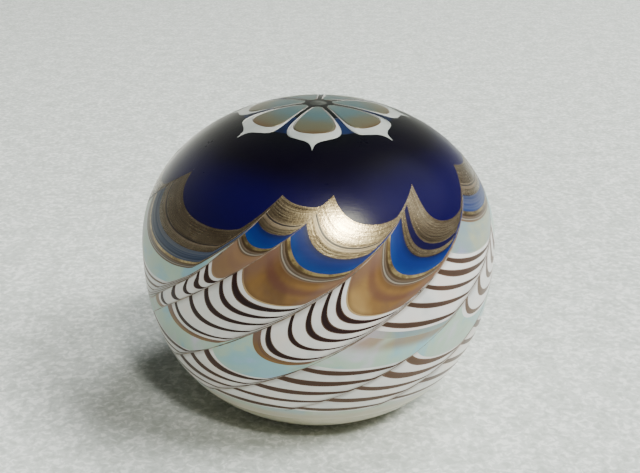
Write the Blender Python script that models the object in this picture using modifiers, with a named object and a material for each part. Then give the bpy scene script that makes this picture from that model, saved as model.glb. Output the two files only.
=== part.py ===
"""A studio-glass paperweight: a clear crystal core in an opal casing, skinned with a cobalt dome,
combed and twisted bands of coloured glass, and a seven-petal flower set into the crown.

The frame is +Z up, with the origin at the centre of the flat ring that the weight stands on.
Azimuth 0 faces -Y and grows towards +X. A place on the skin is given by its azimuth and by its
drop, the distance from the pole along the outside of the glass.
"""

import math

import bmesh
import bpy
from mathutils import Vector

# Driving dimensions, in metres.
RADIUS = 0.038  # at the equator, the widest place
CROWN_HEIGHT = 0.795 * RADIUS  # pole above the equator
CROWN_POWER = 2.07  # superellipse power of the crown: 2 is an ellipse
BELLY_DEPTH = 1.014 * RADIUS  # how far the belly's curve would reach below the equator
BELLY_POWER = 2.4
BASE_RADIUS = 0.5 * RADIUS  # the belly is ground flat where it narrows to this
SKIN = 0.0022  # thickness of the coloured skin
CASING = 0.0030  # thickness of the opal casing under the skin
GAP = 0.0003  # between neighbouring pieces of glass
DISH_RADIUS = 0.28 * RADIUS  # polished dish where the punty was broken off
DISH_DEPTH = 0.0012
DISH_STEPS = 5
FOOT_ROWS = 6
NECK_RADIUS = 0.24 * RADIUS  # the core's neck, which meets the foot through the casing
CASING_FOOT = 1.06 * BASE_RADIUS  # the casing's outside turns in at this radius
BED = SKIN + 2 * GAP  # depth of the casing's face under the skin
INSIDE_ROWS = 11
TURNED_SEGMENTS = 36
PROFILE_STEPS = 720
CORE_BEVEL = 0.0012

# The combing: strokes drawn up through the bands, with scallops hanging between them.
STROKES = 11
FIRST_STROKE = math.radians(5.5)  # where it crosses the dome's edge
SLIPPED_STROKES = (-1, 5)  # counted from the first: these two crowd the stroke on their right
SLIP = math.radians(14)  # how far they have slipped at the dome's edge
SLIP_GROWTH = math.radians(20) / RADIUS  # and how much more per metre of drop below it
SLIP_LIMIT = math.radians(24)
UNEVENNESS = 0.6  # how much the scallops differ, as a share of their sag
BEAT = math.tau / 3  # every third one is shallow
BEAT_START = 0.8
STEPS = (0.0, 0.25, 0.55, 0.88, 0.94)  # columns of vertices in one scallop, as shares of it
CREST = 0.78  # share of a scallop at which it hangs lowest
LIFT = 0.10  # how far it has risen again where it reaches the next stroke, as a share of its sag
CLIMB = 0.88  # share of a scallop from which it climbs along that stroke to the next cusp
SAG = 0.155 * RADIUS  # how far a scallop hangs below its cusp
SAG_FADE = 0.9 * RADIUS  # the sag fades out over this much above the foot
SAG_GROWTH = 3  # and grows from the pole to the dome's edge with this power
DOME_EDGE = 0.82 * RADIUS  # drop of the dome's edge at the cusps
FOOT_TOP = 2.2 * RADIUS  # drop of the foot's upper edge
TWIST = math.radians(62) / RADIUS  # twist at the dome's edge, per metre of drop
TWIST_GROWTH = math.radians(22.5) / RADIUS**2  # and how it grows below the edge

# Bands below the dome, from top to bottom: name, width as a share of the radius, colour.
UPPER_BANDS = (
    ("lustre_band_upper", 0.095, "lustre"),
    ("navy_thread", 0.025, "cobalt"),
    ("lustre_band_lower", 0.030, "lustre"),
    ("blue_band", 0.070, "royal_blue"),
    ("gold_thread", 0.022, "gold"),
    ("pale_thread", 0.023, "opal_white"),
    ("amber_band", 0.130, "amber"),
)
MIDDLE_BANDS = (("caramel_thread", 0.030, "amber"), ("aqua_band", 0.150, "aqua"))
DARK_THREAD = 0.020
THREAD_LEAD = 0.016  # above the first thread of a run, and below the last
# A run of dark threads: how many, the first pitch, and how much each pitch is wider than the last.
UPPER_THREADS = (5, 0.048, 0.011)
LOWER_THREADS = (5, 0.070, 0.006)
THREAD_DEPTH = 0.0010
LONGEST_ROW = 0.0055  # a taller band gets more rows of faces, so that it follows the curve

# The flower, in metres along the crown and across each petal.
PETALS = 7
FIRST_PETAL = math.radians(-3.6)
PETAL_THICKNESS = 0.0012
POCKET_LIFT = 0.0005  # the pockets' cutters stand this far proud of the dome
CENTRE_RADIUS = 0.0018
# Outlines as (distance from the pole, half the width) from the inner end to the tip.
PETAL_OUTLINE = (
    (0.0072, 0.0032), (0.0100, 0.0043), (0.0125, 0.0049), (0.0147, 0.0050), (0.0162, 0.0041),
    (0.0172, 0.0026), (0.0183, 0.0013), (0.0205, 0.0003),
)
HEART_OUTLINE = (
    (0.0036, 0.0003), (0.0052, 0.0010), (0.0068, 0.0019), (0.0092, 0.0030), (0.0114, 0.0036),
    (0.0130, 0.0036), (0.0141, 0.0028), (0.0148, 0.0015), (0.0151, 0.0008), (0.0152, 0.0002),
)

COLOURS = {  # base colour, roughness, metallic
    "clear_crystal": ((0.80, 0.84, 0.80), 0.15, 0.0),
    "opal_white": ((0.84, 0.82, 0.78), 0.38, 0.0),
    "cobalt": ((0.004, 0.004, 0.075), 0.35, 0.0),
    "royal_blue": ((0.01, 0.10, 0.42), 0.35, 0.0),
    "lustre": ((0.30, 0.24, 0.17), 0.35, 0.8),
    "gold": ((0.52, 0.43, 0.24), 0.32, 0.9),
    "amber": ((0.45, 0.23, 0.08), 0.38, 0.0),
    "manganese": ((0.045, 0.018, 0.018), 0.38, 0.0),
    "aqua": ((0.50, 0.66, 0.62), 0.35, 0.0),
    "heart": ((0.25, 0.33, 0.29), 0.35, 0.2),
}


def clear_scene():
    for obj in list(bpy.data.objects):
        bpy.data.objects.remove(obj, do_unlink=True)


def new_collection(name):
    collection = bpy.data.collections.new(name)
    bpy.context.scene.collection.children.link(collection)
    return collection


def glass(name):
    """The material of that colour, made the first time that it is asked for."""
    found = bpy.data.materials.get(name)
    if found:
        return found
    colour, roughness, metallic = COLOURS[name]
    material = bpy.data.materials.new(name)
    material.use_nodes = True
    shader = material.node_tree.nodes["Principled BSDF"]
    shader.inputs["Base Color"].default_value = (*colour, 1)
    shader.inputs["Roughness"].default_value = roughness
    shader.inputs["Metallic"].default_value = metallic
    return material


def belly_point(angle):
    """(radius, height above the equator) at that angle round the profile, from 90 degrees at the pole."""
    height, power = (CROWN_HEIGHT, CROWN_POWER) if angle > 0 else (BELLY_DEPTH, BELLY_POWER)
    across = math.cos(angle) ** (2 / power)
    up = abs(math.sin(angle)) ** (2 / power)
    return RADIUS * across, math.copysign(height * up, angle)


def make_profile():
    """The outside of the glass as (drop, radius, height) from the pole to the edge of the base."""
    base_angle = -math.acos((BASE_RADIUS / RADIUS) ** (BELLY_POWER / 2))
    base_height = belly_point(base_angle)[1]
    rows = [(0.0, 0.0, CROWN_HEIGHT - base_height)]
    for i in range(1, PROFILE_STEPS + 1):
        angle = math.pi / 2 + (base_angle - math.pi / 2) * i / PROFILE_STEPS
        radius, height = belly_point(angle)
        height -= base_height
        drop = rows[-1][0] + math.hypot(radius - rows[-1][1], height - rows[-1][2])
        rows.append((drop, radius, height))
    return rows


PROFILE = make_profile()
BASE_DROP = PROFILE[-1][0]
COLUMNS = STROKES * len(STEPS)


def profile_at(drop, depth=0.0):
    """(radius, height) at that drop, taken in by depth square to the outside."""
    if drop <= 0:
        return 0.0, PROFILE[0][2] - depth
    low, high = 0, len(PROFILE) - 1
    while high - low > 1:
        middle = (low + high) // 2
        if PROFILE[middle][0] <= drop:
            low = middle
        else:
            high = middle
    (drop_a, radius_a, height_a), (drop_b, radius_b, height_b) = PROFILE[low], PROFILE[high]
    share = (drop - drop_a) / (drop_b - drop_a)
    length = math.hypot(radius_b - radius_a, height_b - height_a)
    out_r, out_z = (height_a - height_b) / length, (radius_b - radius_a) / length
    radius = radius_a + share * (radius_b - radius_a) - depth * out_r
    height = height_a + share * (height_b - height_a) - depth * out_z
    return radius, height


def drop_where(depth, holds):
    """The last drop on the belly, taken in by depth, where holds(radius, height) is true."""
    low, high = BASE_DROP / 2, BASE_DROP
    for _ in range(40):
        middle = (low + high) / 2
        if holds(*profile_at(middle, depth)):
            low = middle
        else:
            high = middle
    return low


CASING_END = drop_where(BED, lambda radius, height: radius > CASING_FOOT)
CASING_FLOOR = profile_at(CASING_END, BED)[1]
CASING_CEILING = CASING_FLOOR + CASING


def on_skin(drop, azimuth, depth=0.0):
    radius, height = profile_at(drop, depth)
    return Vector((radius * math.sin(azimuth), -radius * math.cos(azimuth), height))


def twist(drop):
    """How far the glass is turned back at that drop, in radians."""
    below = max(0.0, drop - DOME_EDGE)
    return TWIST * below + TWIST_GROWTH * below**2


def scallop(share):
    """0 at a cusp and 1 where the scallop hangs lowest, before it climbs to the next cusp."""
    if share < CREST:
        return 1 - (1 - share / CREST) ** 2
    if share <= CLIMB:
        return 1 - LIFT * ((share - CREST) / (CLIMB - CREST)) ** 2
    return (1 - LIFT) * (1 - share) / (1 - CLIMB)


def signed(cell):
    """The number of a stroke or scallop, counted both ways from the front."""
    return (cell + STROKES // 2) % STROKES - STROKES // 2


def crowding(cell):
    """1 for a slipped stroke and 0 for the others."""
    return 1 if signed(cell) in SLIPPED_STROKES else 0


def slip(drop):
    """How far a slipped stroke has strayed at that drop, in radians."""
    return min(SLIP_LIMIT, SLIP + SLIP_GROWTH * max(0.0, drop - DOME_EDGE))


def column_azimuth(index, drop):
    """Azimuth of a column of vertices at that drop: evenly spaced, but for the slips and the twist."""
    cell, step = divmod(index, len(STEPS))
    share = STEPS[step]
    even = FIRST_STROKE + (cell + share) * math.tau / STROKES
    lean = (1 - share) * crowding(cell) + share * crowding(cell + 1)
    return even + lean * slip(drop) - twist(drop)


def hang(index):
    """How far down its scallop a column of vertices is, as a share of the sag."""
    cell, step = divmod(index, len(STEPS))
    return (1 - UNEVENNESS * math.cos(BEAT * (signed(cell) + BEAT_START))) * scallop(STEPS[step])


def sag(level):
    """How far a scallop hangs below its cusp at that level: not at all at the pole and the foot."""
    above = min(1.0, level / DOME_EDGE) ** SAG_GROWTH
    below = max(0.0, min(1.0, (FOOT_TOP - level) / SAG_FADE))
    return SAG * min(above, below)


def combed_point(level, depth, index):
    """The point where the combed line at that level crosses a column."""
    drop = level + sag(level) * hang(index)
    return on_skin(drop, column_azimuth(index, drop), depth)


def add_object(name, mesh, colour, collection):
    obj = bpy.data.objects.new(name, mesh)
    mesh.materials.append(glass(colour))
    collection.objects.link(obj)
    return obj


def thicken(obj, thickness):
    """Grows the open outer surface inwards, to a closed solid."""
    solid = obj.modifiers.new("Thickness", "SOLIDIFY")
    solid.thickness = thickness
    solid.offset = -1.0
    return obj


def grid_piece(name, columns, rows, place, colour, collection):
    """A grid whose vertices go where place(column, row) says, its meeting edges joined."""
    bm = bmesh.new()
    bmesh.ops.create_grid(bm, x_segments=columns, y_segments=rows, size=1.0)
    for vertex in bm.verts:
        x, y, _ = vertex.co
        vertex.co = place(round((x + 1) / 2 * columns), round((1 - y) / 2 * rows))
    bmesh.ops.remove_doubles(bm, verts=bm.verts, dist=1e-6)
    bmesh.ops.dissolve_degenerate(bm, edges=bm.edges, dist=1e-7)
    # The climbing columns are sheared, and only the short diagonal keeps to the curve there.
    bmesh.ops.triangulate(bm, faces=bm.faces, quad_method="SHORT_EDGE")
    mesh = bpy.data.meshes.new(name)
    bm.to_mesh(mesh)
    bm.free()
    mesh.shade_smooth()
    mesh.set_sharp_from_angle(angle=math.radians(35))
    return add_object(name, mesh, colour, collection)


def combed_ring(name, section, colour, collection):
    """A ring round the weight whose cross-section is a loop of (level, depth) points, from its
    upper outer corner down the outside and back up inside."""

    def place(index, row):
        level, depth = section[row % len(section)]
        return combed_point(level, depth, index % COLUMNS)

    return grid_piece(name, COLUMNS, len(section), place, colour, collection)


def band(name, top, bottom, colour, collection):
    """A ring of the skin between the combed lines at two levels."""
    top, bottom = top + GAP / 2, bottom - GAP / 2
    rows = max(1, math.ceil((bottom - top) / LONGEST_ROW))
    levels = [top + (bottom - top) * i / rows for i in range(rows + 1)]
    section = [(level, 0.0) for level in levels] + [(level, SKIN) for level in reversed(levels)]
    return combed_ring(name, section, colour, collection)


def thread(name, top, bottom, colour, collection):
    """A thin ring of glass let into the casing, flush outside and tapering inwards."""
    section = [(top, 0.0), (bottom, 0.0), ((top + bottom) / 2, THREAD_DEPTH)]
    return combed_ring(name, section, colour, collection)


def groove(top, bottom):
    """The casing's (level, depth) points round a thread."""
    return [(top - GAP, 0.0), ((top + bottom) / 2, THREAD_DEPTH + 2 * GAP), (bottom + GAP, 0.0)]


def pocket(top, bottom):
    """The casing's (level, depth) points under a run of bands."""
    rows = max(1, math.ceil((bottom - top) / LONGEST_ROW / 2))
    floor = [(top + (bottom - top) * i / rows, BED) for i in range(rows + 1)]
    return [(top - GAP / 2, 0.0)] + floor + [(bottom + GAP / 2, 0.0)]


def add_bands(bands, level, collection):
    """Bands one under the other from that level down. Returns the level where they end."""
    for name, width, colour in bands:
        band(name, level, level + width * RADIUS, colour, collection)
        level += width * RADIUS
    return level


def add_threads(first, run, level, collection):
    """A run of threads. Returns the casing's points round them and the level reached."""
    count, pitch, spread = run
    points = []
    top = level + THREAD_LEAD * RADIUS
    for number in range(count):
        bottom = top + DARK_THREAD * RADIUS
        thread(f"dark_thread_{first + number:02d}", top, bottom, "manganese", collection)
        points += groove(top, bottom)
        top += (pitch + spread * number) * RADIUS
    return points, bottom + THREAD_LEAD * RADIUS


def combed_glass(collection):
    """The dome, bands and threads, and the casing that they are let into."""
    dome = band("cobalt_dome", CENTRE_RADIUS + GAP / 2, DOME_EDGE, "cobalt", collection)
    level = add_bands(UPPER_BANDS, DOME_EDGE, collection)
    outside = pocket(0.0, level)[1:]
    points, level = add_threads(1, UPPER_THREADS, level, collection)
    outside += points
    middle_end = add_bands(MIDDLE_BANDS, level, collection)
    outside += pocket(level, middle_end)
    points, level = add_threads(1 + UPPER_THREADS[0], LOWER_THREADS, middle_end, collection)
    outside += points
    band("aqua_foot_band", level, FOOT_TOP, "aqua", collection)
    outside += [(level - GAP / 2, 0.0), (level, BED), (FOOT_TOP, BED), (CASING_END, BED)]
    opal_casing(outside, collection)
    return dome


def opal_casing(outside, collection):
    """The white layer, let in for the skin's bands and threads, and open below round the core's neck."""
    inside_end = drop_where(BED + CASING, lambda radius, height: height > CASING_CEILING)
    neck = [(NECK_RADIUS + GAP, CASING_FLOOR), (NECK_RADIUS + GAP, CASING_CEILING)]
    inside = neck + skin_outline(BED + CASING, 0.0, inside_end, INSIDE_ROWS)[::-1]

    def place(index, row):
        index %= COLUMNS
        if row < len(outside):
            return combed_point(*outside[row], index)
        radius, height = inside[row - len(outside)]
        azimuth = column_azimuth(index, CASING_END)
        return Vector((radius * math.sin(azimuth), -radius * math.cos(azimuth), height))

    rows = len(outside) + len(inside) - 1
    return grid_piece("opal_casing", COLUMNS, rows, place, "opal_white", collection)


def turned_solid(name, outline, colour, collection):
    """A (radius, height) outline turned about Z. It starts at the top and runs down the outside."""
    bm = bmesh.new()
    points = [bm.verts.new((radius, 0, height)) for radius, height in outline]
    for a, b in zip(points, points[1:]):
        bm.edges.new((a, b))
    mesh = bpy.data.meshes.new(name)
    bm.to_mesh(mesh)
    bm.free()
    obj = add_object(name, mesh, colour, collection)
    screw = obj.modifiers.new("Turn", "SCREW")
    screw.steps = screw.render_steps = TURNED_SEGMENTS
    screw.use_merge_vertices = True
    screw.merge_threshold = 1e-5
    return obj


def skin_outline(depth, start, end, steps):
    """(radius, height) points along the skin at that depth, between two drops."""
    return [profile_at(start + (end - start) * i / steps, depth) for i in range(steps + 1)]


def crystal_core(collection):
    """The clear heart of the weight, with the neck by which it was held on the punty."""
    floor = CASING_CEILING + GAP
    depth = BED + CASING + 3 * GAP
    side_end = drop_where(depth, lambda radius, height: height > floor + CORE_BEVEL)
    side = skin_outline(depth, 0.0, side_end, INSIDE_ROWS)
    neck = [
        (side[-1][0] - CORE_BEVEL, floor), (NECK_RADIUS, floor),
        (NECK_RADIUS, CASING_FLOOR), (0.0, CASING_FLOOR),
    ]
    return turned_solid("crystal_core", side + neck, "clear_crystal", collection)


def foot(collection):
    """The ground base: the belly's last stretch, the flat ring it stands on and the polished dish."""
    top = CASING_FLOOR - GAP
    inner_radius = profile_at(CASING_END, SKIN + GAP)[0]
    shoulder = profile_at(FOOT_TOP + GAP / 2, SKIN)
    outside = skin_outline(0.0, FOOT_TOP + GAP / 2, BASE_DROP, FOOT_ROWS)
    dish = []
    for i in range(DISH_STEPS + 1):
        across = math.cos(math.pi / 2 * i / DISH_STEPS)
        dish.append((DISH_RADIUS * across, DISH_DEPTH * (1 - across**2)))
    outline = [(0.0, top), (inner_radius, top), shoulder] + outside + dish
    return turned_solid("foot", outline, "clear_crystal", collection)


def flower_centre(collection):
    """The dot of glass that closes the flower, in the hole at the top of the dome."""
    outside = skin_outline(0.0, 0.0, CENTRE_RADIUS, 1)
    bottom = outside[0][1] - SKIN
    outline = outside + [(CENTRE_RADIUS, bottom), (0.0, bottom)]
    return turned_solid("flower_centre", outline, "manganese", collection)


def petal_point(petal, along, across, lift=0.0):
    """A point of the flower: along the crown from the pole and across the petal's own line."""
    drop = math.hypot(along, across)
    azimuth = FIRST_PETAL + petal * math.tau / PETALS + math.atan2(across, along)
    return on_skin(drop, azimuth, -lift)


def petal_plate(name, petal, outline, grow, lift, colour, collection):
    """The face inside an outline, grown by grow on every side and standing lift proud."""
    rows = len(outline) - 1

    def place(index, row):
        along, half = outline[row]
        along += grow * (2 * row / rows - 1)
        return petal_point(petal, along, (half + grow) * (index - 1), lift)

    return grid_piece(name, 2, rows, place, colour, collection)


def petal_border(name, petal, collection):
    """The white edge of a petal, round the heart: out along one side, round the tip and back."""
    inner_outline = HEART_OUTLINE[-len(PETAL_OUTLINE):]
    last = len(PETAL_OUTLINE) - 1

    def place(index, row):
        side = math.copysign(1, index - last)
        step = last - abs(index - last)
        along, half = PETAL_OUTLINE[step]
        if row == 0:
            along, half = inner_outline[step]
            along, half = along + GAP * step / last, half + GAP
        if index == last:
            half = 0.0
        return petal_point(petal, along, side * half)

    border = grid_piece(name, 2 * last, 1, place, "opal_white", collection)
    return thicken(border, PETAL_THICKNESS)


def flower(dome, collection, cutters):
    """Seven petals let into the dome, each a white border round an iridescent heart."""
    for petal in range(PETALS):
        number = petal + 1
        petal_border(f"petal_{number}", petal, collection)
        heart = petal_plate(f"petal_heart_{number}", petal, HEART_OUTLINE, 0.0, 0.0, "heart", collection)
        thicken(heart, PETAL_THICKNESS)
        for part, outline in (("border", PETAL_OUTLINE), ("heart", HEART_OUTLINE)):
            name = f"{part}_pocket_{number}"
            cutter = petal_plate(name, petal, outline, GAP, POCKET_LIFT, "cobalt", cutters)
            thicken(cutter, POCKET_LIFT + PETAL_THICKNESS + GAP)
            cutter.hide_render = True
            cutter.display_type = "WIRE"
    cut = dome.modifiers.new("Flower pocket", "BOOLEAN")
    cut.operation = "DIFFERENCE"
    cut.operand_type = "COLLECTION"
    cut.collection = cutters
    cut.solver = "EXACT"


def main():
    clear_scene()
    weight = new_collection("paperweight")
    cutters = new_collection("cutters")
    crystal_core(weight)
    foot(weight)
    dome = combed_glass(weight)
    flower_centre(weight)
    flower(dome, weight, cutters)


main()
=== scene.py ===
"""Looks for a studio-glass paperweight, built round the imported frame.

Every piece lies on one turned outline, worked out from the frame's own width and height. A place on
the glass is given by its azimuth, 0 at -Y and growing towards +X, and by its drop, the distance
from the pole along the outside. The bands are combed: their edges run along levels, which hang in
scallops between the strokes of the comb, and the whole is twisted.
"""

import math

import bmesh
import bpy
import numpy as np
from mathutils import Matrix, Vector


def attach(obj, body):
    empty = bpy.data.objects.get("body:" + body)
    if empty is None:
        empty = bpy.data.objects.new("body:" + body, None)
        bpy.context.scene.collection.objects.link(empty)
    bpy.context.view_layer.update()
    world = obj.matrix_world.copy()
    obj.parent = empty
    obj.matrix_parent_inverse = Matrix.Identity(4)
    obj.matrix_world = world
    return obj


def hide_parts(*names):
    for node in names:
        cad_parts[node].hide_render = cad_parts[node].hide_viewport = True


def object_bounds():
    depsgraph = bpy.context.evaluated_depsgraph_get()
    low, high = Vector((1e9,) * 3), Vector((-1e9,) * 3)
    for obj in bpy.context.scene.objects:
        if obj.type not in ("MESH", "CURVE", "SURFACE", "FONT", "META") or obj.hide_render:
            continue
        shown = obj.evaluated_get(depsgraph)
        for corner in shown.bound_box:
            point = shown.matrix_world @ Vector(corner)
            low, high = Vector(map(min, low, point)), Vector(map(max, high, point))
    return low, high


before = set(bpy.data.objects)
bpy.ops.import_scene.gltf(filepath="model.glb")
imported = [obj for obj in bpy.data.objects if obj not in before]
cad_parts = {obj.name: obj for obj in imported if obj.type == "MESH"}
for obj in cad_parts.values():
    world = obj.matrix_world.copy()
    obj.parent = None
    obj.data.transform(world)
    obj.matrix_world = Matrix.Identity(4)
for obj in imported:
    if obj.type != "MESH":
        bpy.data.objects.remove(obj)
cad_low, cad_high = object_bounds()

# The outline: a crown and a belly that meet at the equator, each part of a superellipse.
RADIUS = max(cad_high.x - cad_low.x, cad_high.y - cad_low.y) / 2
HEIGHT = cad_high.z - cad_low.z
CROWN_HEIGHT = 0.795 * RADIUS  # pole above the equator
CROWN_POWER = 2.07  # superellipse power: 2 is an ellipse
BELLY_DEPTH = 1.014 * RADIUS  # how far the belly's curve would reach below the equator
BELLY_POWER = 2.4
BASE_RADIUS = 0.5 * RADIUS  # the belly is ground flat where it narrows to this
DISH_RADIUS = 0.28 * RADIUS  # polished dish in the ground base
DISH_DEPTH = 0.0012
OUTLINE_STEPS = 6000

# The combing. Drops and levels are measured from the pole.
STROKES = 11
FIRST_STROKE = math.radians(5.5)  # where it crosses the dome's edge
SLIPPED_STROKES = (-1, 5)  # counted from the first: these two crowd the stroke on their right
SLIP = math.radians(14)  # how far they have slipped at the dome's edge
SLIP_GROWTH = math.radians(20) / RADIUS  # and how much more per metre of drop below it
SLIP_LIMIT = math.radians(24)
UNEVENNESS = 0.6  # how much the scallops differ, as a share of their sag
BEAT = math.tau / 3  # every third one is shallow
BEAT_START = 0.8
COLUMNS_PER_STROKE = 40
CREST = 0.78  # share of a scallop at which it hangs lowest
LIFT = 0.10  # how far it has risen again at CLIMB, as a share of its sag
LIFT_LIMIT = 1.2  # the rise stops this far past CREST, as a share of the way to CLIMB
CLIMB = 0.94  # share of a scallop from which it climbs along the next stroke to its cusp
CLIMB_POWER = 1.6
SAG = 0.155 * RADIUS  # how far a scallop hangs below its cusp
SAG_FADE = 0.9 * RADIUS  # the sag fades out over this much above the foot
SAG_GROWTH = 3  # and grows from the pole to the dome's edge with this power
DOME_EDGE = 0.82 * RADIUS  # level of the dome's edge
FOOT_TOP = 2.2 * RADIUS  # level of the foot's upper edge
TWIST = math.radians(62) / RADIUS  # twist at the dome's edge, per metre of drop
TWIST_GROWTH = math.radians(22.5) / RADIUS**2  # and how it grows below the edge
SLOW_WAVER = 0.006 * RADIUS  # the unsteady hand: a line's long waves
QUICK_WAVER = 0.004 * RADIUS  # and its short ones
ROW = 0.0011  # the most that two rows of vertices lie apart
SKIN = 0.0012  # thickness of the coloured skin
CASING = 0.002  # thickness of the opal casing under the skin
CASING_ROWS = 40  # rows of vertices on the casing's inside

# Bands from the dome down: (node, width as a share of the radius, material slot).
UPPER_BANDS = (
    ("lustre_band_upper", 0.095, "lustre"),
    ("navy_thread", 0.025, "cobalt"),
    ("lustre_band_lower", 0.030, "lustre"),
    ("blue_band", 0.070, "royal_blue"),
    ("gold_thread", 0.022, "gold"),
    ("pale_thread", 0.023, "opal_white"),
    ("amber_band", 0.130, "amber"),
)
MIDDLE_BANDS = (("caramel_thread", 0.030, "amber"), ("aqua_band", 0.150, "aqua"))
BAND_LOOKS = {"navy_thread": "navy_line", "pale_thread": "pale_line"}  # where a look isn't its slot's
DARK_THREAD = 0.020  # width, as a share of the radius
THREAD_LEAD = 0.016  # above the first thread of a run, and below the last
# A run of dark threads: how many, the first pitch, how much each pitch grows by, and their stoutness.
UPPER_THREADS = (5, 0.048, 0.011, 1.0)
LOWER_THREADS = (5, 0.070, 0.006, 1.35)
THREAD_DEPTH = 0.0008
THREAD_VARIATION = 0.15  # how much the threads differ in width from scallop to scallop

# ---------------------------------------------------------------- outline


def outline_point(angle):
    """(radius, height above the equator) for an array of angles, 90 degrees at the pole."""
    crown = angle > 0
    height = np.where(crown, CROWN_HEIGHT, BELLY_DEPTH)
    power = np.where(crown, CROWN_POWER, BELLY_POWER)
    across = np.abs(np.cos(angle)) ** (2 / power)
    up = np.abs(np.sin(angle)) ** (2 / power)
    return RADIUS * across, np.sign(angle) * height * up


def make_outline():
    """Arrays of drop, radius, height and outward normal from the pole to the base's edge."""
    base_angle = -math.acos((BASE_RADIUS / RADIUS) ** (BELLY_POWER / 2))
    angle = np.linspace(math.pi / 2, base_angle, OUTLINE_STEPS)
    radius, height = outline_point(angle)
    radius[0] = 0.0
    height -= height[-1]
    step = np.hypot(np.diff(radius), np.diff(height))
    drop = np.concatenate(([0.0], np.cumsum(step)))
    slope_r, slope_z = np.gradient(radius, drop), np.gradient(height, drop)
    length = np.hypot(slope_r, slope_z)
    return drop, radius, height, -slope_z / length, slope_r / length


OUTLINE = make_outline()
BASE_DROP = OUTLINE[0][-1]


def outward(drop, azimuth):
    """The direction square to the outside of the glass."""
    drop, azimuth = np.broadcast_arrays(drop, azimuth)
    out_r, out_z = (np.interp(drop, OUTLINE[0], column) for column in OUTLINE[3:])
    return np.stack((out_r * np.sin(azimuth), -out_r * np.cos(azimuth), out_z), axis=-1)


def on_skin(drop, azimuth, depth=0.0):
    """Points on the glass, taken in by depth square to the outside."""
    drop, azimuth, depth = np.broadcast_arrays(drop, azimuth, depth)
    radius, height, out_r, out_z = (np.interp(drop, OUTLINE[0], column) for column in OUTLINE[1:])
    radius = np.maximum(radius - depth * out_r, 0.0)
    height = height - depth * out_z
    return np.stack((radius * np.sin(azimuth), -radius * np.cos(azimuth), height), axis=-1)


# ---------------------------------------------------------------- combing


def ramp_up(value, start, width):
    """0 up to start, and 1 from start + width on."""
    return np.clip((value - start) / width, 0, 1)


def ramp_down(value, end, width):
    """1 up to end - width, and 0 from end on."""
    return np.clip((end - value) / width, 0, 1)


def signed(cell):
    """The number of a stroke or scallop, counted both ways from the first."""
    return (cell + STROKES // 2) % STROKES - STROKES // 2


def crowding(cell):
    """1 for a slipped stroke and 0 for the others."""
    return 1 if signed(cell) in SLIPPED_STROKES else 0


def scallop(share):
    """0 at a cusp and 1 where it hangs lowest, before it climbs along the next stroke."""
    plunge = 1 - np.clip(1 - share / CREST, 0, 1) ** 2
    lift = LIFT * np.clip((share - CREST) / (CLIMB - CREST), 0, LIFT_LIMIT) ** 2
    climb = ramp_up(share, CLIMB, 1 - CLIMB) ** CLIMB_POWER
    return (plunge - lift) * (1 - climb)


def make_columns():
    """Arrays with one entry a column: even azimuth, lean, hang, share of the scallop and its number."""
    step = np.arange(COLUMNS_PER_STROKE) / COLUMNS_PER_STROKE
    share = (1 - np.cos(math.pi * step)) / 2
    rows = []
    for cell in range(STROKES):
        even = FIRST_STROKE + (cell + share) * math.tau / STROKES
        lean = (1 - share) * crowding(cell) + share * crowding(cell + 1)
        depth = 1 - UNEVENNESS * math.cos(BEAT * (signed(cell) + BEAT_START))
        rows.append((even, lean, depth * scallop(share), share, np.full(len(share), signed(cell))))
    return tuple(np.concatenate(part) for part in zip(*rows))


EVEN_AZIMUTH, LEAN, HANG, SHARE, CELL = make_columns()


def slip(drop):
    """How far a slipped stroke has strayed at that drop."""
    below = np.maximum(0.0, drop - DOME_EDGE)
    return np.minimum(SLIP_LIMIT, SLIP + SLIP_GROWTH * below)


def twist(drop):
    below = np.maximum(0.0, drop - DOME_EDGE)
    return TWIST * below + TWIST_GROWTH * below**2


def column_azimuth(drop):
    return EVEN_AZIMUTH + LEAN * slip(drop) - twist(drop)


def sag(level):
    """How far a scallop hangs below its cusp, for one of average depth."""
    above = np.minimum(1.0, np.maximum(level, 0.0) / DOME_EDGE) ** SAG_GROWTH
    below = ramp_down(level, FOOT_TOP, SAG_FADE)
    return SAG * np.minimum(above, below)


def waver(drop):
    """The small unevenness of a hand-combed line, which fades out round the flower and at the foot."""
    share = drop / RADIUS
    fade = ramp_up(share, 0.3, 0.4) * ramp_down(share, 2.2, 0.3)
    slow = SLOW_WAVER * np.sin(3 * EVEN_AZIMUTH + 5 * share)
    quick = QUICK_WAVER * np.sin(7 * EVEN_AZIMUTH - 9 * share + 1.3)
    return (slow + quick) * fade


def combed(level, depth):
    """Points, attributes and drop of a grid: level is an array of (rows, columns) or (rows, 1)."""
    level = np.broadcast_to(level, (level.shape[0], len(HANG)))
    drop = level + sag(level) * HANG
    drop = drop + waver(drop)
    azimuth = column_azimuth(drop)
    points = on_skin(drop, azimuth, depth)
    round_x, round_y = np.cos(EVEN_AZIMUTH) + 0 * drop, np.sin(EVEN_AZIMUTH) + 0 * drop
    facing = np.where(np.broadcast_to(depth, drop.shape) > 0, -1.0, 1.0)[..., None]
    attributes = {
        "flow": np.stack((round_x, round_y, level / RADIUS), axis=-1),
        "normal_out": facing * outward(drop, azimuth),
    }
    return points, attributes, drop


# ---------------------------------------------------------------- meshes


def finish_mesh(name, mesh, look):
    mesh.shade_smooth()
    mesh.set_sharp_from_angle(angle=math.radians(40))
    mesh.materials.append(MATERIALS[look])
    piece = bpy.data.objects.new(name, mesh)
    bpy.context.scene.collection.objects.link(piece)
    return piece


def add_attribute(mesh, key, values):
    layer = mesh.attributes.new(key, "FLOAT_VECTOR", "POINT")
    layer.data.foreach_set("vector", np.ascontiguousarray(values, dtype=np.float32).ravel())


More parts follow.
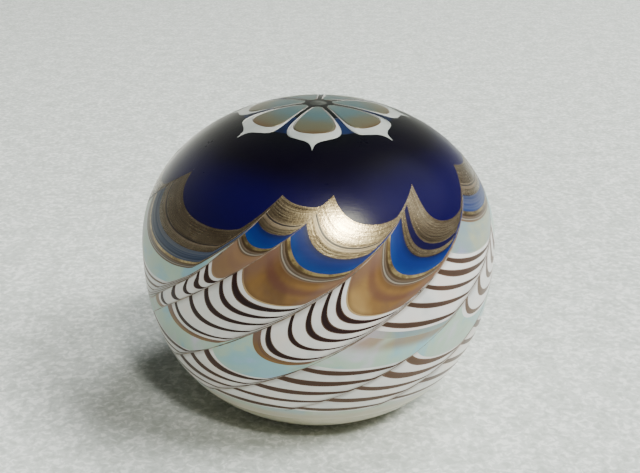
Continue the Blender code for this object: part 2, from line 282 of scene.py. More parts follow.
def set_normals(mesh):
    """Gives the mesh the outline's own normals, so that the pieces shade as one surface."""
    layer = mesh.attributes.get("normal_out")
    if layer is None:
        return
    normals = np.zeros(len(mesh.vertices) * 3, dtype=np.float32)
    layer.data.foreach_get("vector", normals)
    mesh.attributes.remove(layer)
    mesh.normals_split_custom_set_from_vertices(normals.reshape(-1, 3).tolist())


def grid_piece(name, points, attributes, look, wrap_rows=True):
    """A grid of points (rows, columns, 3), closed round its columns and, if asked, its rows."""
    rows, columns = points.shape[:2]
    index = np.arange(rows * columns).reshape(rows, columns)
    below = np.roll(index, -1, axis=0)
    if not wrap_rows:
        index, below = index[:-1], below[:-1]
    right, below_right = np.roll(index, -1, axis=1), np.roll(below, -1, axis=1)
    faces = np.stack((below, below_right, right, index), axis=-1).reshape(-1, 4)
    mesh = bpy.data.meshes.new(name)
    mesh.from_pydata(points.reshape(-1, 3).tolist(), [], faces.tolist())
    for key, values in attributes.items():
        add_attribute(mesh, key, values)
    bm = bmesh.new()
    bm.from_mesh(mesh)
    bmesh.ops.remove_doubles(bm, verts=bm.verts, dist=1e-7)
    bm.to_mesh(mesh)
    bm.free()
    piece = finish_mesh(name, mesh, look)
    set_normals(mesh)
    return piece


def sheet(name, points, look, thickness, comb=None):
    """An open grid of points (rows, columns, 3), thickened inwards. comb is its vertex attribute."""
    rows, columns = points.shape[:2]
    index = np.arange(rows * columns).reshape(rows, columns)
    faces = np.stack((index[1:, :-1], index[1:, 1:], index[:-1, 1:], index[:-1, :-1]), axis=-1)
    mesh = bpy.data.meshes.new(name)
    mesh.from_pydata(points.reshape(-1, 3).tolist(), [], faces.reshape(-1, 4).tolist())
    if comb is not None:
        add_attribute(mesh, "comb", comb)
    piece = finish_mesh(name, mesh, look)
    solid = piece.modifiers.new("Thickness", "SOLIDIFY")
    solid.thickness = thickness
    solid.offset = -1.0
    return piece


def stand_for(piece, slot, *node_names):
    """The piece rides on the weight's one body, and stands for those CAD nodes, if any."""
    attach(piece, "root")
    if node_names:
        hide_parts(*node_names)


def thread_swell(share):
    """A thread's width along a scallop: thin at its ends, full in the bend, wide where it climbs."""
    bend = ramp_up(share, 0.0, 0.35)
    tail = ramp_up(share, 0.5, 0.45)
    climb = ramp_up(share, CLIMB, 1 - CLIMB)
    return (0.8 + 0.4 * bend) * (1 - 0.4 * tail * tail) * (1 + 1.4 * climb)


def thread_edges(top, bottom, seed, stoutness):
    """A thread's edge levels, an array of columns each, round its middle."""
    middle, half = (top + bottom) / 2, stoutness * (bottom - top) / 2
    swell = thread_swell(SHARE)
    vary = 1 + THREAD_VARIATION * np.sin(1.7 * CELL + 2.3 * seed)
    return middle - half * swell * vary, middle + half * swell * vary


def per_column(level):
    return np.broadcast_to(level, HANG.shape)


def rows_between(top, bottom):
    """Levels from one edge to the other, at most a ROW apart, and their shares of the way."""
    count = max(2, int(math.ceil(float(np.max(bottom - top)) / ROW)))
    share = np.linspace(0, 1, count + 1)[:, None]
    return top + (bottom - top) * share, share


def ring(node_name, top, bottom, depth, look, slot, taper=False):
    """A ring of glass between two combed edges, for a CAD node. taper narrows it inwards to a line."""
    top, bottom = per_column(top), per_column(bottom)
    levels, share = rows_between(top, bottom)
    if taper:
        inner = ((top + bottom) / 2)[None, :]
        inner_share = np.array([[0.5]])
    else:
        inner, inner_share = levels[::-1], share[::-1]
    every = np.concatenate((levels, inner))
    depths = np.concatenate((np.zeros(len(levels)), np.full(len(inner), depth)))[:, None]
    points, attributes, drop = combed(every, depths)
    across = np.concatenate((share, inner_share))
    attributes["comb"] = np.stack(np.broadcast_arrays(SHARE, across, drop / RADIUS), axis=-1)
    attributes["cell"] = np.broadcast_to(CELL[:, None], points.shape)
    stand_for(grid_piece(node_name + "_glass", points, attributes, look), slot, node_name)


# ---------------------------------------------------------------- shader nodes


def node(tree, kind, inputs=None, **settings):
    """A shader node. Each input is a value or another node's socket."""
    made = tree.nodes.new("ShaderNode" + kind)
    for key, value in settings.items():
        setattr(made, key, value)
    for key, value in (inputs or {}).items():
        if isinstance(value, bpy.types.NodeSocket):
            tree.links.new(value, made.inputs[key])
        else:
            made.inputs[key].default_value = value
    return made


def attribute(tree, name):
    return node(tree, "Attribute", attribute_name=name).outputs["Vector"]


def split(tree, vector):
    made = node(tree, "SeparateXYZ", {"Vector": vector})
    return made.outputs["X"], made.outputs["Y"], made.outputs["Z"]


def calc(tree, operation, a, b=0.0, c=0.0):
    return node(tree, "Math", {0: a, 1: b, 2: c}, operation=operation).outputs[0]


def noise(tree, vector, scale, detail=3.0, roughness=0.55, distortion=0.0):
    inputs = {"Vector": vector, "Scale": scale, "Detail": detail}
    inputs |= {"Roughness": roughness, "Distortion": distortion}
    return node(tree, "TexNoise", inputs).outputs["Fac"]


def mottle(tree, scale, *settings):
    """Noise in the object's own space."""
    return noise(tree, node(tree, "TexCoord").outputs["Object"], scale, *settings)


def drawn_out(tree, vector, scale, *settings):
    """Noise stretched by a different scale along each axis."""
    place = node(tree, "Mapping", {"Vector": vector, "Scale": scale}).outputs[0]
    return noise(tree, place, 1.0, *settings)


def ramp(tree, fac, *stops):
    """A colour ramp through (place, (red, green, blue)) stops."""
    made = node(tree, "ValToRGB", {"Fac": fac})
    scale = made.color_ramp
    scale.interpolation = "EASE"
    while len(scale.elements) < len(stops):
        scale.elements.new(0.5)
    for element, (place, colour) in zip(scale.elements, stops):
        element.position = place
        element.color = (*colour, 1.0)
    return made.outputs["Color"]


def grey_ramp(tree, fac, *stops):
    return ramp(tree, fac, *[(place, (value,) * 3) for place, value in stops])


def away_ramp(tree, value, centre, *stops):
    """A grey ramp over the distance between a value and a centre."""
    return grey_ramp(tree, calc(tree, "ABSOLUTE", calc(tree, "SUBTRACT", value, centre)), *stops)


def mix(tree, fac, a, b):
    """Colour a where fac is 0 and b where it is 1."""
    made = node(tree, "Mix", data_type="RGBA", blend_type="MIX")
    tree.links.new(fac, made.inputs[0])
    for index, value in ((6, a), (7, b)):
        if isinstance(value, bpy.types.NodeSocket):
            tree.links.new(value, made.inputs[index])
        else:
            made.inputs[index].default_value = (*value, 1.0)
    return made.outputs[2]


# ---------------------------------------------------------------- materials


def comb_place(tree):
    """Sockets: share of the scallop or petal, share of the way across it, and drop over radius."""
    return split(tree, attribute(tree, "comb"))


def cell_number(tree):
    """The number of the scallop, counted both ways from the first."""
    return split(tree, attribute(tree, "cell"))[0]


def front_share(tree):
    """1 in the scallops of the front, where the glass is brightest lit, and 0 round the sides, where the
    blue and threads get painted haze.
    """
    turn = calc(tree, "MULTIPLY", cell_number(tree), math.tau / STROKES)
    wave = calc(tree, "COSINE", calc(tree, "SUBTRACT", turn, 0.1))
    return grey_ramp(tree, calc(tree, "MULTIPLY_ADD", wave, 0.5, 0.5), (0.66, 0.0), (0.86, 1.0))


def cobalt_colour(tree):
    """Nearly black at the pole and deep blue at the dome's edge: partly the glass's own colour, partly
    painted shade on the crown.
    """
    _, _, drop = comb_place(tree)
    cloud = calc(tree, "MULTIPLY", mottle(tree, 45.0, 3.0), 0.25)
    # Darker towards the pole: partly the glass's own colour, partly painted shade.
    low = calc(tree, "SUBTRACT", calc(tree, "ADD", drop, cloud), 0.12)
    black, violet, blue = (0.002, 0.003, 0.003), (0.0012, 0.0006, 0.004), (0.002, 0.0, 0.032)
    return ramp(tree, low, (0.30, black), (0.62, violet), (0.92, blue))


def bronze_colour(tree):
    """Brown metallic lustre, drawn out in fine dark lines, with small lighter spots: the lustre's crackle,
    partly painted sparkle.
    """
    cloud = mottle(tree, 220.0, 4.0, 0.7)
    dull, brown, bright = (0.16, 0.123, 0.082), (0.215, 0.170, 0.115), (0.29, 0.24, 0.165)
    base = ramp(tree, cloud, (0.3, dull), (0.5, brown), (0.75, bright))
    crackle_and_sparkle = mottle(tree, 1500.0, 3.0, 0.8, 1.2)
    # The lighter spots are the lustre's crackle, brightened as painted sparkle.
    base = mix(tree, grey_ramp(tree, crackle_and_sparkle, (0.50, 0.0), (0.62, 0.25)), base, (0.50, 0.40, 0.24))
    lines = drawn_out(tree, attribute(tree, "flow"), (1.2, 1.2, 170.0), 2.0, 0.6)
    base = mix(tree, grey_ramp(tree, lines, (0.44, 0.6), (0.60, 0.0)), base, (0.07, 0.045, 0.025))
    dark = calc(tree, "MULTIPLY", grey_ramp(tree, lines, (0.34, 1.0), (0.41, 0.0)), 0.8)
    return mix(tree, dark, base, (0.020, 0.015, 0.012))


def navy_line_colour(tree):
    """Navy in the deepest scallop of the front, and elsewhere bronze with one dark line along it."""
    _, across, _ = comb_place(tree)
    line = away_ramp(tree, across, 0.3, (0.10, 1.0), (0.18, 0.0))
    plain = mix(tree, line, bronze_colour(tree), (0.012, 0.010, 0.012))
    deep = away_ramp(tree, cell_number(tree), 1.0, (0.3, 1.0), (0.5, 0.0))
    return mix(tree, deep, plain, (0.003, 0.001, 0.035))


def blue_colour(tree):
    """Royal blue at the front, and round the sides a greyer blue drawn out in fine lines: the lines are
    the glass's own, the grey is painted haze.
    """
    _, across, _ = comb_place(tree)
    cloud = calc(tree, "MULTIPLY", mottle(tree, 150.0, 3.0), 0.4)
    fac = calc(tree, "ADD", calc(tree, "MULTIPLY", across, 0.75), cloud)
    deep, royal, light = (0.0005, 0.003, 0.04), (0.0005, 0.012, 0.105), (0.001, 0.026, 0.14)
    blue = ramp(tree, fac, (0.12, deep), (0.55, royal), (0.95, light))
    lines = drawn_out(tree, attribute(tree, "flow"), (1.2, 1.2, 90.0), 2.0, 0.6)
    # Painted haze round the sides: slate, steel and pale grey along the glass's own fine lines.
    slate, steel, haze = (0.020, 0.030, 0.062), (0.040, 0.055, 0.095), (0.085, 0.095, 0.12)
    dull = ramp(tree, lines, (0.40, slate), (0.5, steel), (0.62, haze))
    return mix(tree, front_share(tree), dull, blue)


def gold_colour(tree):
    """Gilt, darker along its lower edge."""
    _, across, _ = comb_place(tree)
    dull, gold, bright = (0.14, 0.10, 0.05), (0.38, 0.29, 0.14), (0.62, 0.52, 0.30)
    gilt = ramp(tree, mottle(tree, 420.0, 4.0, 0.7), (0.35, dull), (0.6, gold), (0.8, bright))
    return mix(tree, grey_ramp(tree, across, (0.45, 0.0), (0.7, 1.0)), gilt, (0.10, 0.065, 0.04))


def pale_line_colour(tree):
    """A pale line between two brown ones."""
    _, across, _ = comb_place(tree)
    cloud = mottle(tree, 300.0, 3.0)
    place = calc(tree, "ADD", across, calc(tree, "MULTIPLY_ADD", cloud, 0.2, -0.1))
    return ramp(
        tree,
        place,
        (0.05, (0.10, 0.07, 0.045)),
        (0.38, (0.05, 0.035, 0.025)),
        (0.48, (0.20, 0.18, 0.14)),
        (0.58, (0.20, 0.17, 0.13)),
        (0.70, (0.06, 0.038, 0.025)),
        (0.92, (0.12, 0.07, 0.035)),
    )


def aqua_tints(tree):
    """Lavender, aqua, green and pink clouds."""
    cloud = mottle(tree, 48.0, 4.0, 0.6, 0.6)
    lavender, aqua = (0.29, 0.37, 0.60), (0.22, 0.40, 0.45)
    green, pink = (0.33, 0.45, 0.36), (0.45, 0.44, 0.50)
    return ramp(tree, cloud, (0.32, lavender), (0.44, aqua), (0.54, green), (0.66, pink))


def amber_clouds(tree):
    dark, amber, light = (0.10, 0.046, 0.011), (0.175, 0.090, 0.022), (0.31, 0.19, 0.062)
    return ramp(tree, mottle(tree, 75.0, 3.0, 0.5, 0.5), (0.3, dark), (0.5, amber), (0.68, light))


def amber_colour(tree):
    """Amber at the front, with darker edges and a purple-brown streak, and aqua round the sides."""
    share, across, _ = comb_place(tree)
    patch = mottle(tree, 130.0, 3.0, 0.6, 1.5)
    patches = grey_ramp(tree, patch, (0.45, 0.0), (0.7, 0.45))
    warm = mix(tree, patches, amber_clouds(tree), (0.12, 0.062, 0.030))
    edges = away_ramp(tree, across, 0.5, (0.32, 0.0), (0.48, 0.6))
    warm = mix(tree, edges, warm, (0.085, 0.038, 0.013))
    rim = grey_ramp(tree, across, (0.945, 0.0), (0.965, 0.8))
    warm = mix(tree, rim, warm, (0.38, 0.27, 0.12))
    place = calc(tree, "ADD", across, calc(tree, "MULTIPLY", share, -0.25))
    streak = away_ramp(tree, place, 0.22, (0.02, 0.65), (0.22, 0.0))
    warm = mix(tree, streak, warm, (0.085, 0.027, 0.022))
    along = calc(tree, "MULTIPLY_ADD", patch, 0.2, share)
    sides = grey_ramp(tree, along, (0.16, 0.65), (0.36, 0.0), (0.9, 0.0), (1.1, 0.6))
    warm = mix(tree, sides, warm, (0.13, 0.072, 0.055))
    narrow = away_ramp(tree, cell_number(tree), -1.0, (0.3, 0.65), (0.5, 0.0))
    warm = mix(tree, narrow, warm, (0.215, 0.130, 0.078))
    return mix(tree, front_share(tree), aqua_tints(tree), warm)


def aqua_colour(tree):
    """Aqua, with caramel drawn into its upper edge here and there."""
    _, across, _ = comb_place(tree)
    patch = drawn_out(tree, attribute(tree, "flow"), (2.2, 2.2, 1.0), 2.0)
    near = grey_ramp(tree, across, (0.15, 0.75), (0.55, 0.0))
    here = grey_ramp(tree, patch, (0.5, 0.0), (0.62, 1.0))
    return mix(tree, calc(tree, "MULTIPLY", near, here), aqua_tints(tree), (0.22, 0.12, 0.045))


def foot_band_colour(tree):
    """Aqua that pales into the cream of the foot."""
    _, across, _ = comb_place(tree)
    low = grey_ramp(tree, across, (0.1, 0.35), (0.6, 1.0))
    return mix(tree, low, aqua_tints(tree), (0.42, 0.39, 0.30))


def opal_colour(tree):
    """Opal white, greyed along the strokes of the comb: painted shade that rounds each white leaf."""
    share, _, _ = comb_place(tree)
    cloud = mottle(tree, 120.0, 3.0)
    cool, white, warm = (0.52, 0.54, 0.54), (0.65, 0.64, 0.62), (0.68, 0.62, 0.58)
    opal = ramp(tree, cloud, (0.3, cool), (0.5, white), (0.7, warm))
    place = calc(tree, "MULTIPLY_ADD", cloud, 0.16, calc(tree, "SUBTRACT", share, 0.08))
    # Painted shade: grey near each stroke, at both ends of a scallop.
    grey = grey_ramp(tree, place, (0.0, 0.55), (0.10, 0.0), (0.86, 0.0), (0.99, 0.6))
    return mix(tree, grey, opal, (0.20, 0.17, 0.14))


def thread_colour(tree):
    """Nearly black at the front, browner low down and along both edges, and browner round the sides, which
    is painted haze.
    """
    _, across, drop = comb_place(tree)
    black, red, brown = (0.008, 0.0006, 0.0006), (0.014, 0.0015, 0.0012), (0.045, 0.017, 0.007)
    core = ramp(tree, mottle(tree, 60.0, 2.0), (0.35, black), (0.6, red), (0.8, brown))
    # Round the sides the threads are browned: painted haze.
    side = grey_ramp(tree, front_share(tree), (0.0, 0.85), (0.8, 0.0))
    core = mix(tree, side, core, (0.105, 0.064, 0.038))
    low = grey_ramp(tree, calc(tree, "SUBTRACT", drop, 1.2), (0.3, 0.0), (0.8, 0.5))
    core = mix(tree, low, core, (0.055, 0.022, 0.012))
    edge = away_ramp(tree, across, 0.5, (0.28, 0.0), (0.5, 0.8))
    return mix(tree, edge, core, (0.15, 0.085, 0.055))


def comb_line_colour(tree):
    cloud = mottle(tree, 350.0, 3.0)
    return ramp(tree, cloud, (0.35, (0.07, 0.045, 0.030)), (0.65, (0.26, 0.20, 0.14)))


def foot_colour(tree):
    # Cream, pale and grey glass, all darkened a little: painted shade under the weight.
    cream, pale, grey = (0.38, 0.355, 0.26), (0.48, 0.445, 0.345), (0.43, 0.43, 0.365)
    return ramp(tree, mottle(tree, 60.0, 2.0), (0.3, cream), (0.6, pale), (0.8, grey))


def petal_colour(tree):
    # Opal white greyed down to a pale olive: painted shade and haze on the petals.
    return ramp(tree, mottle(tree, 160.0, 3.0), (0.3, (0.25, 0.28, 0.26)), (0.6, (0.34, 0.36, 0.33)))


def heart_colour(tree):
    """Blue-green near the pole and brown towards the petal's tip."""
    along, _, _ = comb_place(tree)
    cloud = calc(tree, "MULTIPLY", mottle(tree, 140.0, 3.0), 0.25)
    fac = calc(tree, "ADD", calc(tree, "MULTIPLY", along, 0.85), cloud)
    grey, teal = (0.10, 0.14, 0.12), (0.055, 0.105, 0.11)
    olive, brown = (0.085, 0.085, 0.052), (0.085, 0.052, 0.022)
    return ramp(tree, fac, (0.15, grey), (0.42, teal), (0.62, olive), (0.88, brown))


def centre_colour(tree):
    cloud = mottle(tree, 500.0, 3.0)
    return ramp(tree, cloud, (0.35, (0.03, 0.035, 0.03)), (0.65, (0.09, 0.10, 0.085)))


def wedge_colour(tree):
    cloud = mottle(tree, 300.0, 3.0)
    return ramp(tree, cloud, (0.3, (0.001, 0.003, 0.012)), (0.7, (0.004, 0.012, 0.045)))


def glass(
    name,
    colour_of,
    roughness=0.36,
    metallic=0.0,
    subsurface=0.0,
    specular=0.3,
    sheen=0.3,
    grain=0.25,
    scratch=0.15,
):
    """A satin glass. colour_of(tree) gives its colour, and fine grain and scratches break up its gloss."""
    material = bpy.data.materials.new(name)
    material.use_nodes = True
    tree = material.node_tree
    place = node(tree, "TexCoord").outputs["Object"]
    fine = noise(tree, place, 1900.0, 2.0, 0.7)
    soft = noise(tree, place, 160.0, 3.0, 0.6)
    streak = drawn_out(tree, place, (260.0, 1500.0, 3200.0), 2.0, 0.6)
    rough = calc(tree, "MULTIPLY_ADD", soft, 0.12, roughness - 0.06)
    rough = calc(tree, "MULTIPLY_ADD", streak, 0.04, calc(tree, "SUBTRACT", rough, 0.02))
    height = calc(tree, "MULTIPLY_ADD", streak, scratch, calc(tree, "MULTIPLY", fine, grain))
    bump = node(tree, "Bump", {"Height": height, "Strength": 0.5, "Distance": 0.00008})
    shader = tree.nodes["Principled BSDF"]
    tree.links.new(colour_of(tree), shader.inputs["Base Color"])
    tree.links.new(rough, shader.inputs["Roughness"])
    tree.links.new(bump.outputs[0], shader.inputs["Normal"])
    shader.inputs["Metallic"].default_value = metallic
    shader.inputs["Specular IOR Level"].default_value = specular
    shader.inputs["Subsurface Weight"].default_value = subsurface
    shader.inputs["Subsurface Radius"].default_value = (1.0, 0.9, 0.8)
    shader.inputs["Subsurface Scale"].default_value = 0.0015
    shader.inputs["Sheen Weight"].default_value = sheen
    shader.inputs["Sheen Roughness"].default_value = 0.3
    shader.inputs["Sheen Tint"].default_value = (0.85, 0.86, 0.76, 1.0)
    return material


def make_materials():
    dark = {"specular": 0.11, "sheen": 0.45, "grain": 0.22, "scratch": 0.2}
    metal = {"metallic": 0.8, "specular": 0.5, "grain": 0.8, "scratch": 0.3}
    return {
        "cobalt": glass("cobalt_glass", cobalt_colour, 0.30, **dark),
        "lustre": glass("bronze_lustre", bronze_colour, 0.26, **metal),
        "royal_blue": glass("royal_blue_glass", blue_colour, 0.34, specular=0.2, sheen=0.15),
        "gold": glass("gold_lustre", gold_colour, 0.30, metallic=0.85, grain=0.6),
        "amber": glass("amber_glass", amber_colour, 0.38, metallic=0.1),
        "aqua": glass("aqua_glass", aqua_colour, 0.36, metallic=0.1),
        "opal_white": glass("opal_glass", opal_colour, 0.38, subsurface=0.2),
        "manganese": glass("manganese_glass", thread_colour, 0.36, specular=0.15, sheen=0.12),
        "comb_line": glass("comb_line_glass", comb_line_colour, 0.38),
        "foot_band": glass("foot_band_glass", foot_band_colour, 0.34),
        "navy_line": glass("navy_line_glass", navy_line_colour, 0.34, metallic=0.4),
        "pale_line": glass("pale_line_glass", pale_line_colour, 0.38),
        "petal": glass("petal_glass", petal_colour, 0.38, subsurface=0.15, sheen=0.8),
        "centre": glass("flower_centre_glass", centre_colour, 0.36, metallic=0.3),
        "wedge": glass("blue_wedge_glass", wedge_colour, 0.36),
        "foot": glass("foot_glass", foot_colour, 0.22, subsurface=0.3),
        "heart": glass("heart_glass", heart_colour, 0.36, metallic=0.3, sheen=0.8),
    }


MATERIALS = make_materials()

# ---------------------------------------------------------------- combed glass


def make_bands(bands, level):
    """The bands from that level down. Returns the level reached."""
    for node_name, width, slot in bands:
        end = level + width * RADIUS
        ring(node_name, level, end, SKIN, BAND_LOOKS.get(node_name, slot), slot)
        level = end
    return level


def make_threads(first, run, level):
    """A run of threads. Returns the edges of each, for the casing, and the level reached."""
    count, pitch, growth, stoutness = run
    edges = []
    start = level + THREAD_LEAD * RADIUS
    for number in range(count):
        end = start + DARK_THREAD * RADIUS
        edges.append(thread_edges(start, end, first + number, stoutness))
        name = f"dark_thread_{first + number:02d}"
        ring(name, *edges[-1], THREAD_DEPTH, "manganese", "manganese", taper=True)
        start += (pitch + growth * number) * RADIUS
    return edges, end + THREAD_LEAD * RADIUS


def open_glass(start, end, edges):
    """The casing's sections from start to end, where it shows between the threads with those edges."""
    sections = []
    for top, bottom in edges:
        sections += [("open", start, top), ("thread", top, bottom)]
        start = bottom
    return sections + [("open", start, end)]


def casing_rows(sections):
    """The casing's outside, as (level, depth) arrays: sections are (kind, top, bottom).

    A "band" runs under the skin, "open" glass is level with it, and a "thread" is a groove.
    """
    levels, depths = [], []
    for kind, top, bottom in sections:
        top, bottom = per_column(top), per_column(bottom)
        if kind == "thread":
            rows, depth = ((top + bottom) / 2)[None, :], THREAD_DEPTH
        else:
            rows, _ = rows_between(top, bottom)
            depth = SKIN if kind == "band" else 0.0
        levels.append(rows)
        depths.append(np.full(len(rows), depth))
    return np.concatenate(levels), np.concatenate(depths)[:, None]


def make_casing(sections):
    """The white glass under the skin and between the threads. It hides the core, and stands for it."""
    points, attributes, drop = combed(*casing_rows(sections))
    under = np.linspace(FOOT_TOP, 0.0, CASING_ROWS)[:, None]
    inside = on_skin(under, column_azimuth(FOOT_TOP), SKIN + CASING)
    points = np.concatenate((points, inside))
    down = np.tile((0.0, 0.0, -1.0), (*inside.shape[:2], 1))
    attributes = {key: np.concatenate((values, down)) for key, values in attributes.items()}
    comb = np.zeros_like(points)
    comb[:, :, 0] = SHARE
    comb[: len(drop), :, 2] = drop / RADIUS
    attributes["comb"] = comb
    casing = grid_piece("opal_casing_glass", points, attributes, "opal_white", wrap_rows=False)
    stand_for(casing, "opal_white", "opal_casing", "crystal_core")


def make_combed_glass():
    ring("cobalt_dome", 0.0, DOME_EDGE, SKIN, "cobalt", "cobalt")
    upper_end = make_bands(UPPER_BANDS, DOME_EDGE)
    upper_threads, middle = make_threads(1, UPPER_THREADS, upper_end)
    middle_end = make_bands(MIDDLE_BANDS, middle)
    lower_threads, lower_end = make_threads(1 + UPPER_THREADS[0], LOWER_THREADS, middle_end)
    ring("aqua_foot_band", lower_end, FOOT_TOP, SKIN, "foot_band", "aqua")
    make_casing(
        [("band", 0.0, upper_end)]
        + open_glass(upper_end, middle, upper_threads)
        + [("band", middle, middle_end)]
        + open_glass(middle_end, lower_end, lower_threads)
        + [("band", lower_end, FOOT_TOP)]
    )


make_combed_glass()

# ---------------------------------------------------------------- comb lines

LINE_START = 0.9  # drops over the radius
LINE_END = 2.1
LINE_STEPS = 240
LINE_THINNEST = 0.00006  # half widths
LINE_SWELL = 0.00017
LINE_THICKNESS = 0.0003


def make_comb_lines():
    """The hair-thin dark line that each stroke of the comb has drawn out of the threads it crossed."""
    share = np.linspace(LINE_START, LINE_END, LINE_STEPS)
    drop = share * RADIUS
    ends = ramp_up(share, LINE_START, 0.25) * ramp_down(share, LINE_END, 0.2)
    side = np.array([-1.0, 0.0, 1.0])
    depth = -0.00002 + 0.00004 * side**2  # the middle stands proud, and the edges are let in
    for cell in range(STROKES):
        column = cell * COLUMNS_PER_STROKE
        centre = EVEN_AZIMUTH[column] + LEAN[column] * slip(drop) - twist(drop)
        half = LINE_THINNEST + LINE_SWELL * ends * (1 + 0.5 * np.sin(share * 31 + cell))
        azimuth = centre[:, None] + side * (half / RADIUS)[:, None]
        points = on_skin(drop[:, None], azimuth, depth)
        line = sheet(f"comb_line_{cell + 1:02d}", points, "comb_line", LINE_THICKNESS)
        stand_for(line, "manganese")


make_comb_lines()

# ---------------------------------------------------------------- flower

PETALS = 7
FIRST_PETAL = math.radians(-3.6)
# (distance from the pole, half width) down one side of a petal, as shares of the radius.
PETAL = (
    (0.085, 0.026), (0.130, 0.048), (0.200, 0.081), (0.270, 0.112), (0.330, 0.136), (0.385, 0.142),
    (0.420, 0.122), (0.442, 0.084), (0.460, 0.046), (0.480, 0.020), (0.505, 0.008), (0.533, 0.001),
)
HEART = (
    (0.078, 0.010), (0.095, 0.026), (0.135, 0.043), (0.190, 0.068), (0.250, 0.093), (0.310, 0.109),
    (0.355, 0.103), (0.383, 0.072), (0.395, 0.034), (0.399, 0.001),
)
# The blue that fills the gap between two petals, under them both.
WEDGE = ((0.250, 0.010), (0.300, 0.030), (0.350, 0.055), (0.385, 0.075), (0.405, 0.060), (0.415, 0.002))
HEART_LINE = 0.00012  # how far the dark line shows round a heart
LAYER = 0.00001  # each kind of plate stands this much prouder of the dome than the one under it
PETAL_THICKNESS = 0.0006
TRIM_THICKNESS = 0.0004
NARROWEST = 0.00001
ROWS_ALONG, COLUMNS_ACROSS = 60, 17


def spline(points, steps):
    """A Catmull-Rom curve through the points."""
    p = np.array(points, float)
    p = np.vstack((2 * p[0] - p[1], p, 2 * p[-1] - p[-2]))
    t = np.linspace(0, len(points) - 1 - 1e-9, steps)
    i = t.astype(int)
    f = (t - i)[:, None]
    a, b, c, d = p[i], p[i + 1], p[i + 2], p[i + 3]
    cubic = (3 * b - 3 * c + d - a) * f**3
    return 0.5 * (2 * b + (c - a) * f + (2 * a - 5 * b + 4 * c - d) * f**2 + cubic)


def plate(name, petal, outline, layer, thickness, look, grow=0.0):
    """A petal-shaped plate let into the crown, its half width grown and its face proud by a hair."""
    side = spline(outline, ROWS_ALONG) * RADIUS
    side[:, 1] = np.maximum(side[:, 1] + grow, NARROWEST)
    across = np.linspace(-1, 1, COLUMNS_ACROSS)
    along, half = side[:, :1], side[:, 1:] * across
    drop = np.hypot(along, half)
    azimuth = FIRST_PETAL + petal * math.tau / PETALS + np.arctan2(half, along)
    points = on_skin(drop, azimuth, -layer * LAYER)
    share = np.linspace(0, 1, ROWS_ALONG)[:, None]
    comb = np.stack(np.broadcast_arrays(share, across, drop / RADIUS), axis=-1)
    return sheet(name, points, look, thickness, comb)


def make_petal(petal):
    number = petal + 1
    gap = plate(f"petal_gap_{number}", petal + 0.5, WEDGE, 1, TRIM_THICKNESS, "wedge")
    stand_for(gap, "cobalt")
    face = plate(f"petal_{number}_glass", petal, PETAL, 2, PETAL_THICKNESS, "petal")
    stand_for(face, "opal_white", f"petal_{number}")
    line = plate(f"petal_line_{number}", petal, HEART, 3, TRIM_THICKNESS, "manganese", HEART_LINE)
    stand_for(line, "manganese")
    heart = plate(f"petal_heart_{number}_glass", petal, HEART, 4, PETAL_THICKNESS, "heart")
    stand_for(heart, "heart", f"petal_heart_{number}")


def make_flower():
    for petal in range(PETALS):
        make_petal(petal)
    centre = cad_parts["flower_centre"].data
    centre.materials.clear()
    centre.materials.append(MATERIALS["centre"])


make_flower()

# ---------------------------------------------------------------- foot

FOOT_COLUMNS = 160
FOOT_ROWS = 30
DISH_ROWS = 14


def make_foot():
    """The ground base, smooth, with the polished dish under it."""
    azimuth = np.linspace(0, math.tau, FOOT_COLUMNS, endpoint=False)[None, :]
    outside = on_skin(np.linspace(FOOT_TOP, BASE_DROP, FOOT_ROWS)[:, None], azimuth)
    angle = np.linspace(0, math.pi / 2, DISH_ROWS)[:, None]
    reach = DISH_RADIUS * np.cos(angle)
    rise = DISH_DEPTH * (1 - np.cos(angle) ** 2)
    dish = np.stack((reach * np.sin(azimuth), -reach * np.cos(azimuth), rise + 0 * azimuth), axis=-1)
    top = on_skin(np.array([[FOOT_TOP]]), azimuth, SKIN)
    middle = top.copy()
    middle[..., :2] = 0.0
    points = np.concatenate((middle, top, outside, dish))
    foot = grid_piece("foot_glass", points, {}, "foot", wrap_rows=False)
    stand_for(foot, "clear_crystal", "foot")


make_foot()

# ---------------------------------------------------------------- floor, light and camera

FLOOR_SIZE = 6.0
EYE_HEIGHT = 0.928 * RADIUS  # height of the point that the camera looks at
EYE_DISTANCE = 6 * RADIUS
EYE_ELEVATION = math.radians(22.5)
LENS = 58.7
SENSOR = 36.0
FRAMING_SHIFT = (0.0025, 0.0017)


def make_floor():
    """A sheet of pale paper, blotched and specked."""
    bpy.ops.mesh.primitive_plane_add(size=FLOOR_SIZE, location=(0, 0, cad_low.z))
    floor = bpy.context.object
    floor.name = "floor"
    material = bpy.data.materials.new("floor_paper")
    material.use_nodes = True
    tree = material.node_tree
    blotch = calc(tree, "MULTIPLY", mottle(tree, 140.0, 4.0, 0.6), 0.35)
    speck = calc(tree, "MULTIPLY", mottle(tree, 620.0, 2.0, 0.6, 0.6), 0.65)
    dark, grey, pale = (0.42, 0.46, 0.42), (0.53, 0.57, 0.53), (0.72, 0.75, 0.71)
    colour = ramp(tree, calc(tree, "ADD", blotch, speck), (0.38, dark), (0.5, grey), (0.60, pale))
    shader = tree.nodes["Principled BSDF"]
    tree.links.new(colour, shader.inputs["Base Color"])
    shader.inputs["Roughness"].default_value = 0.7
    floor.data.materials.append(material)


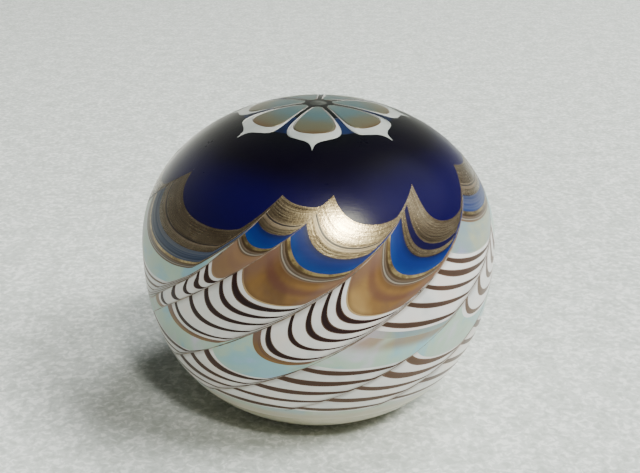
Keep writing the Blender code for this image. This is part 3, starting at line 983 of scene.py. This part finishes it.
def area_light(name, azimuth, elevation, distance, size, power, colour=(1, 1, 1), seen_by="all"):
    """A soft light on the middle of the weight. seen_by is "all", "gloss" or "matt" rays."""
    light = bpy.data.lights.new(name, "AREA")
    light.shape = "DISK"
    light.size = size
    light.energy = power
    light.color = colour
    lamp = bpy.data.objects.new(name, light)
    lamp.visible_glossy = seen_by != "matt"
    lamp.visible_diffuse = seen_by != "gloss"
    azimuth, elevation = math.radians(azimuth), math.radians(elevation)
    across = math.cos(elevation)
    direction = Vector((math.sin(azimuth) * across, -math.cos(azimuth) * across, math.sin(elevation)))
    target = Vector((0, 0, HEIGHT / 2))
    lamp.location = target + direction * distance
    lamp.rotation_euler = direction.to_track_quat("Z", "Y").to_euler()
    bpy.context.scene.collection.objects.link(lamp)


def make_world():
    """A dim room, paler near the floor."""
    world = bpy.data.worlds.new("studio")
    bpy.context.scene.world = world
    world.use_nodes = True
    tree = world.node_tree
    _, _, up = split(tree, node(tree, "TexCoord").outputs["Generated"])
    low, middle, high = (0.34, 0.35, 0.31), (0.15, 0.15, 0.14), (0.03, 0.03, 0.032)
    sky = ramp(tree, up, (0.0, low), (0.35, middle), (0.8, high))
    tree.links.new(sky, tree.nodes["Background"].inputs["Color"])


def make_lights():
    """One small lamp and a glint for the highlight, two matt ones for the shadow, and a soft haze."""
    area_light("key", 22, 50, 2.0, 0.22, 20.0, (1.0, 0.98, 0.95))
    area_light("glint", 22, 49, 2.0, 0.44, 145.0, (0.97, 0.96, 0.66), seen_by="gloss")
    area_light("side", 72, 48, 2.4, 0.9, 92.0, seen_by="matt")
    area_light("back", 128, 62, 2.2, 0.9, 46.0, seen_by="matt")
    area_light("haze", 100, 46, 2.2, 1.8, 14.0, (0.95, 1.0, 0.92), seen_by="gloss")


def make_camera():
    camera = bpy.data.cameras.new("camera")
    camera.lens = LENS
    camera.sensor_width = SENSOR
    camera.shift_x, camera.shift_y = FRAMING_SHIFT
    eye = bpy.data.objects.new("camera", camera)
    direction = Vector((0, -math.cos(EYE_ELEVATION), math.sin(EYE_ELEVATION)))
    eye.location = Vector((0, 0, EYE_HEIGHT)) + direction * EYE_DISTANCE
    eye.rotation_euler = direction.to_track_quat("Z", "Y").to_euler()
    bpy.context.scene.collection.objects.link(eye)
    bpy.context.scene.camera = eye


make_floor()
make_world()
make_lights()
make_camera()
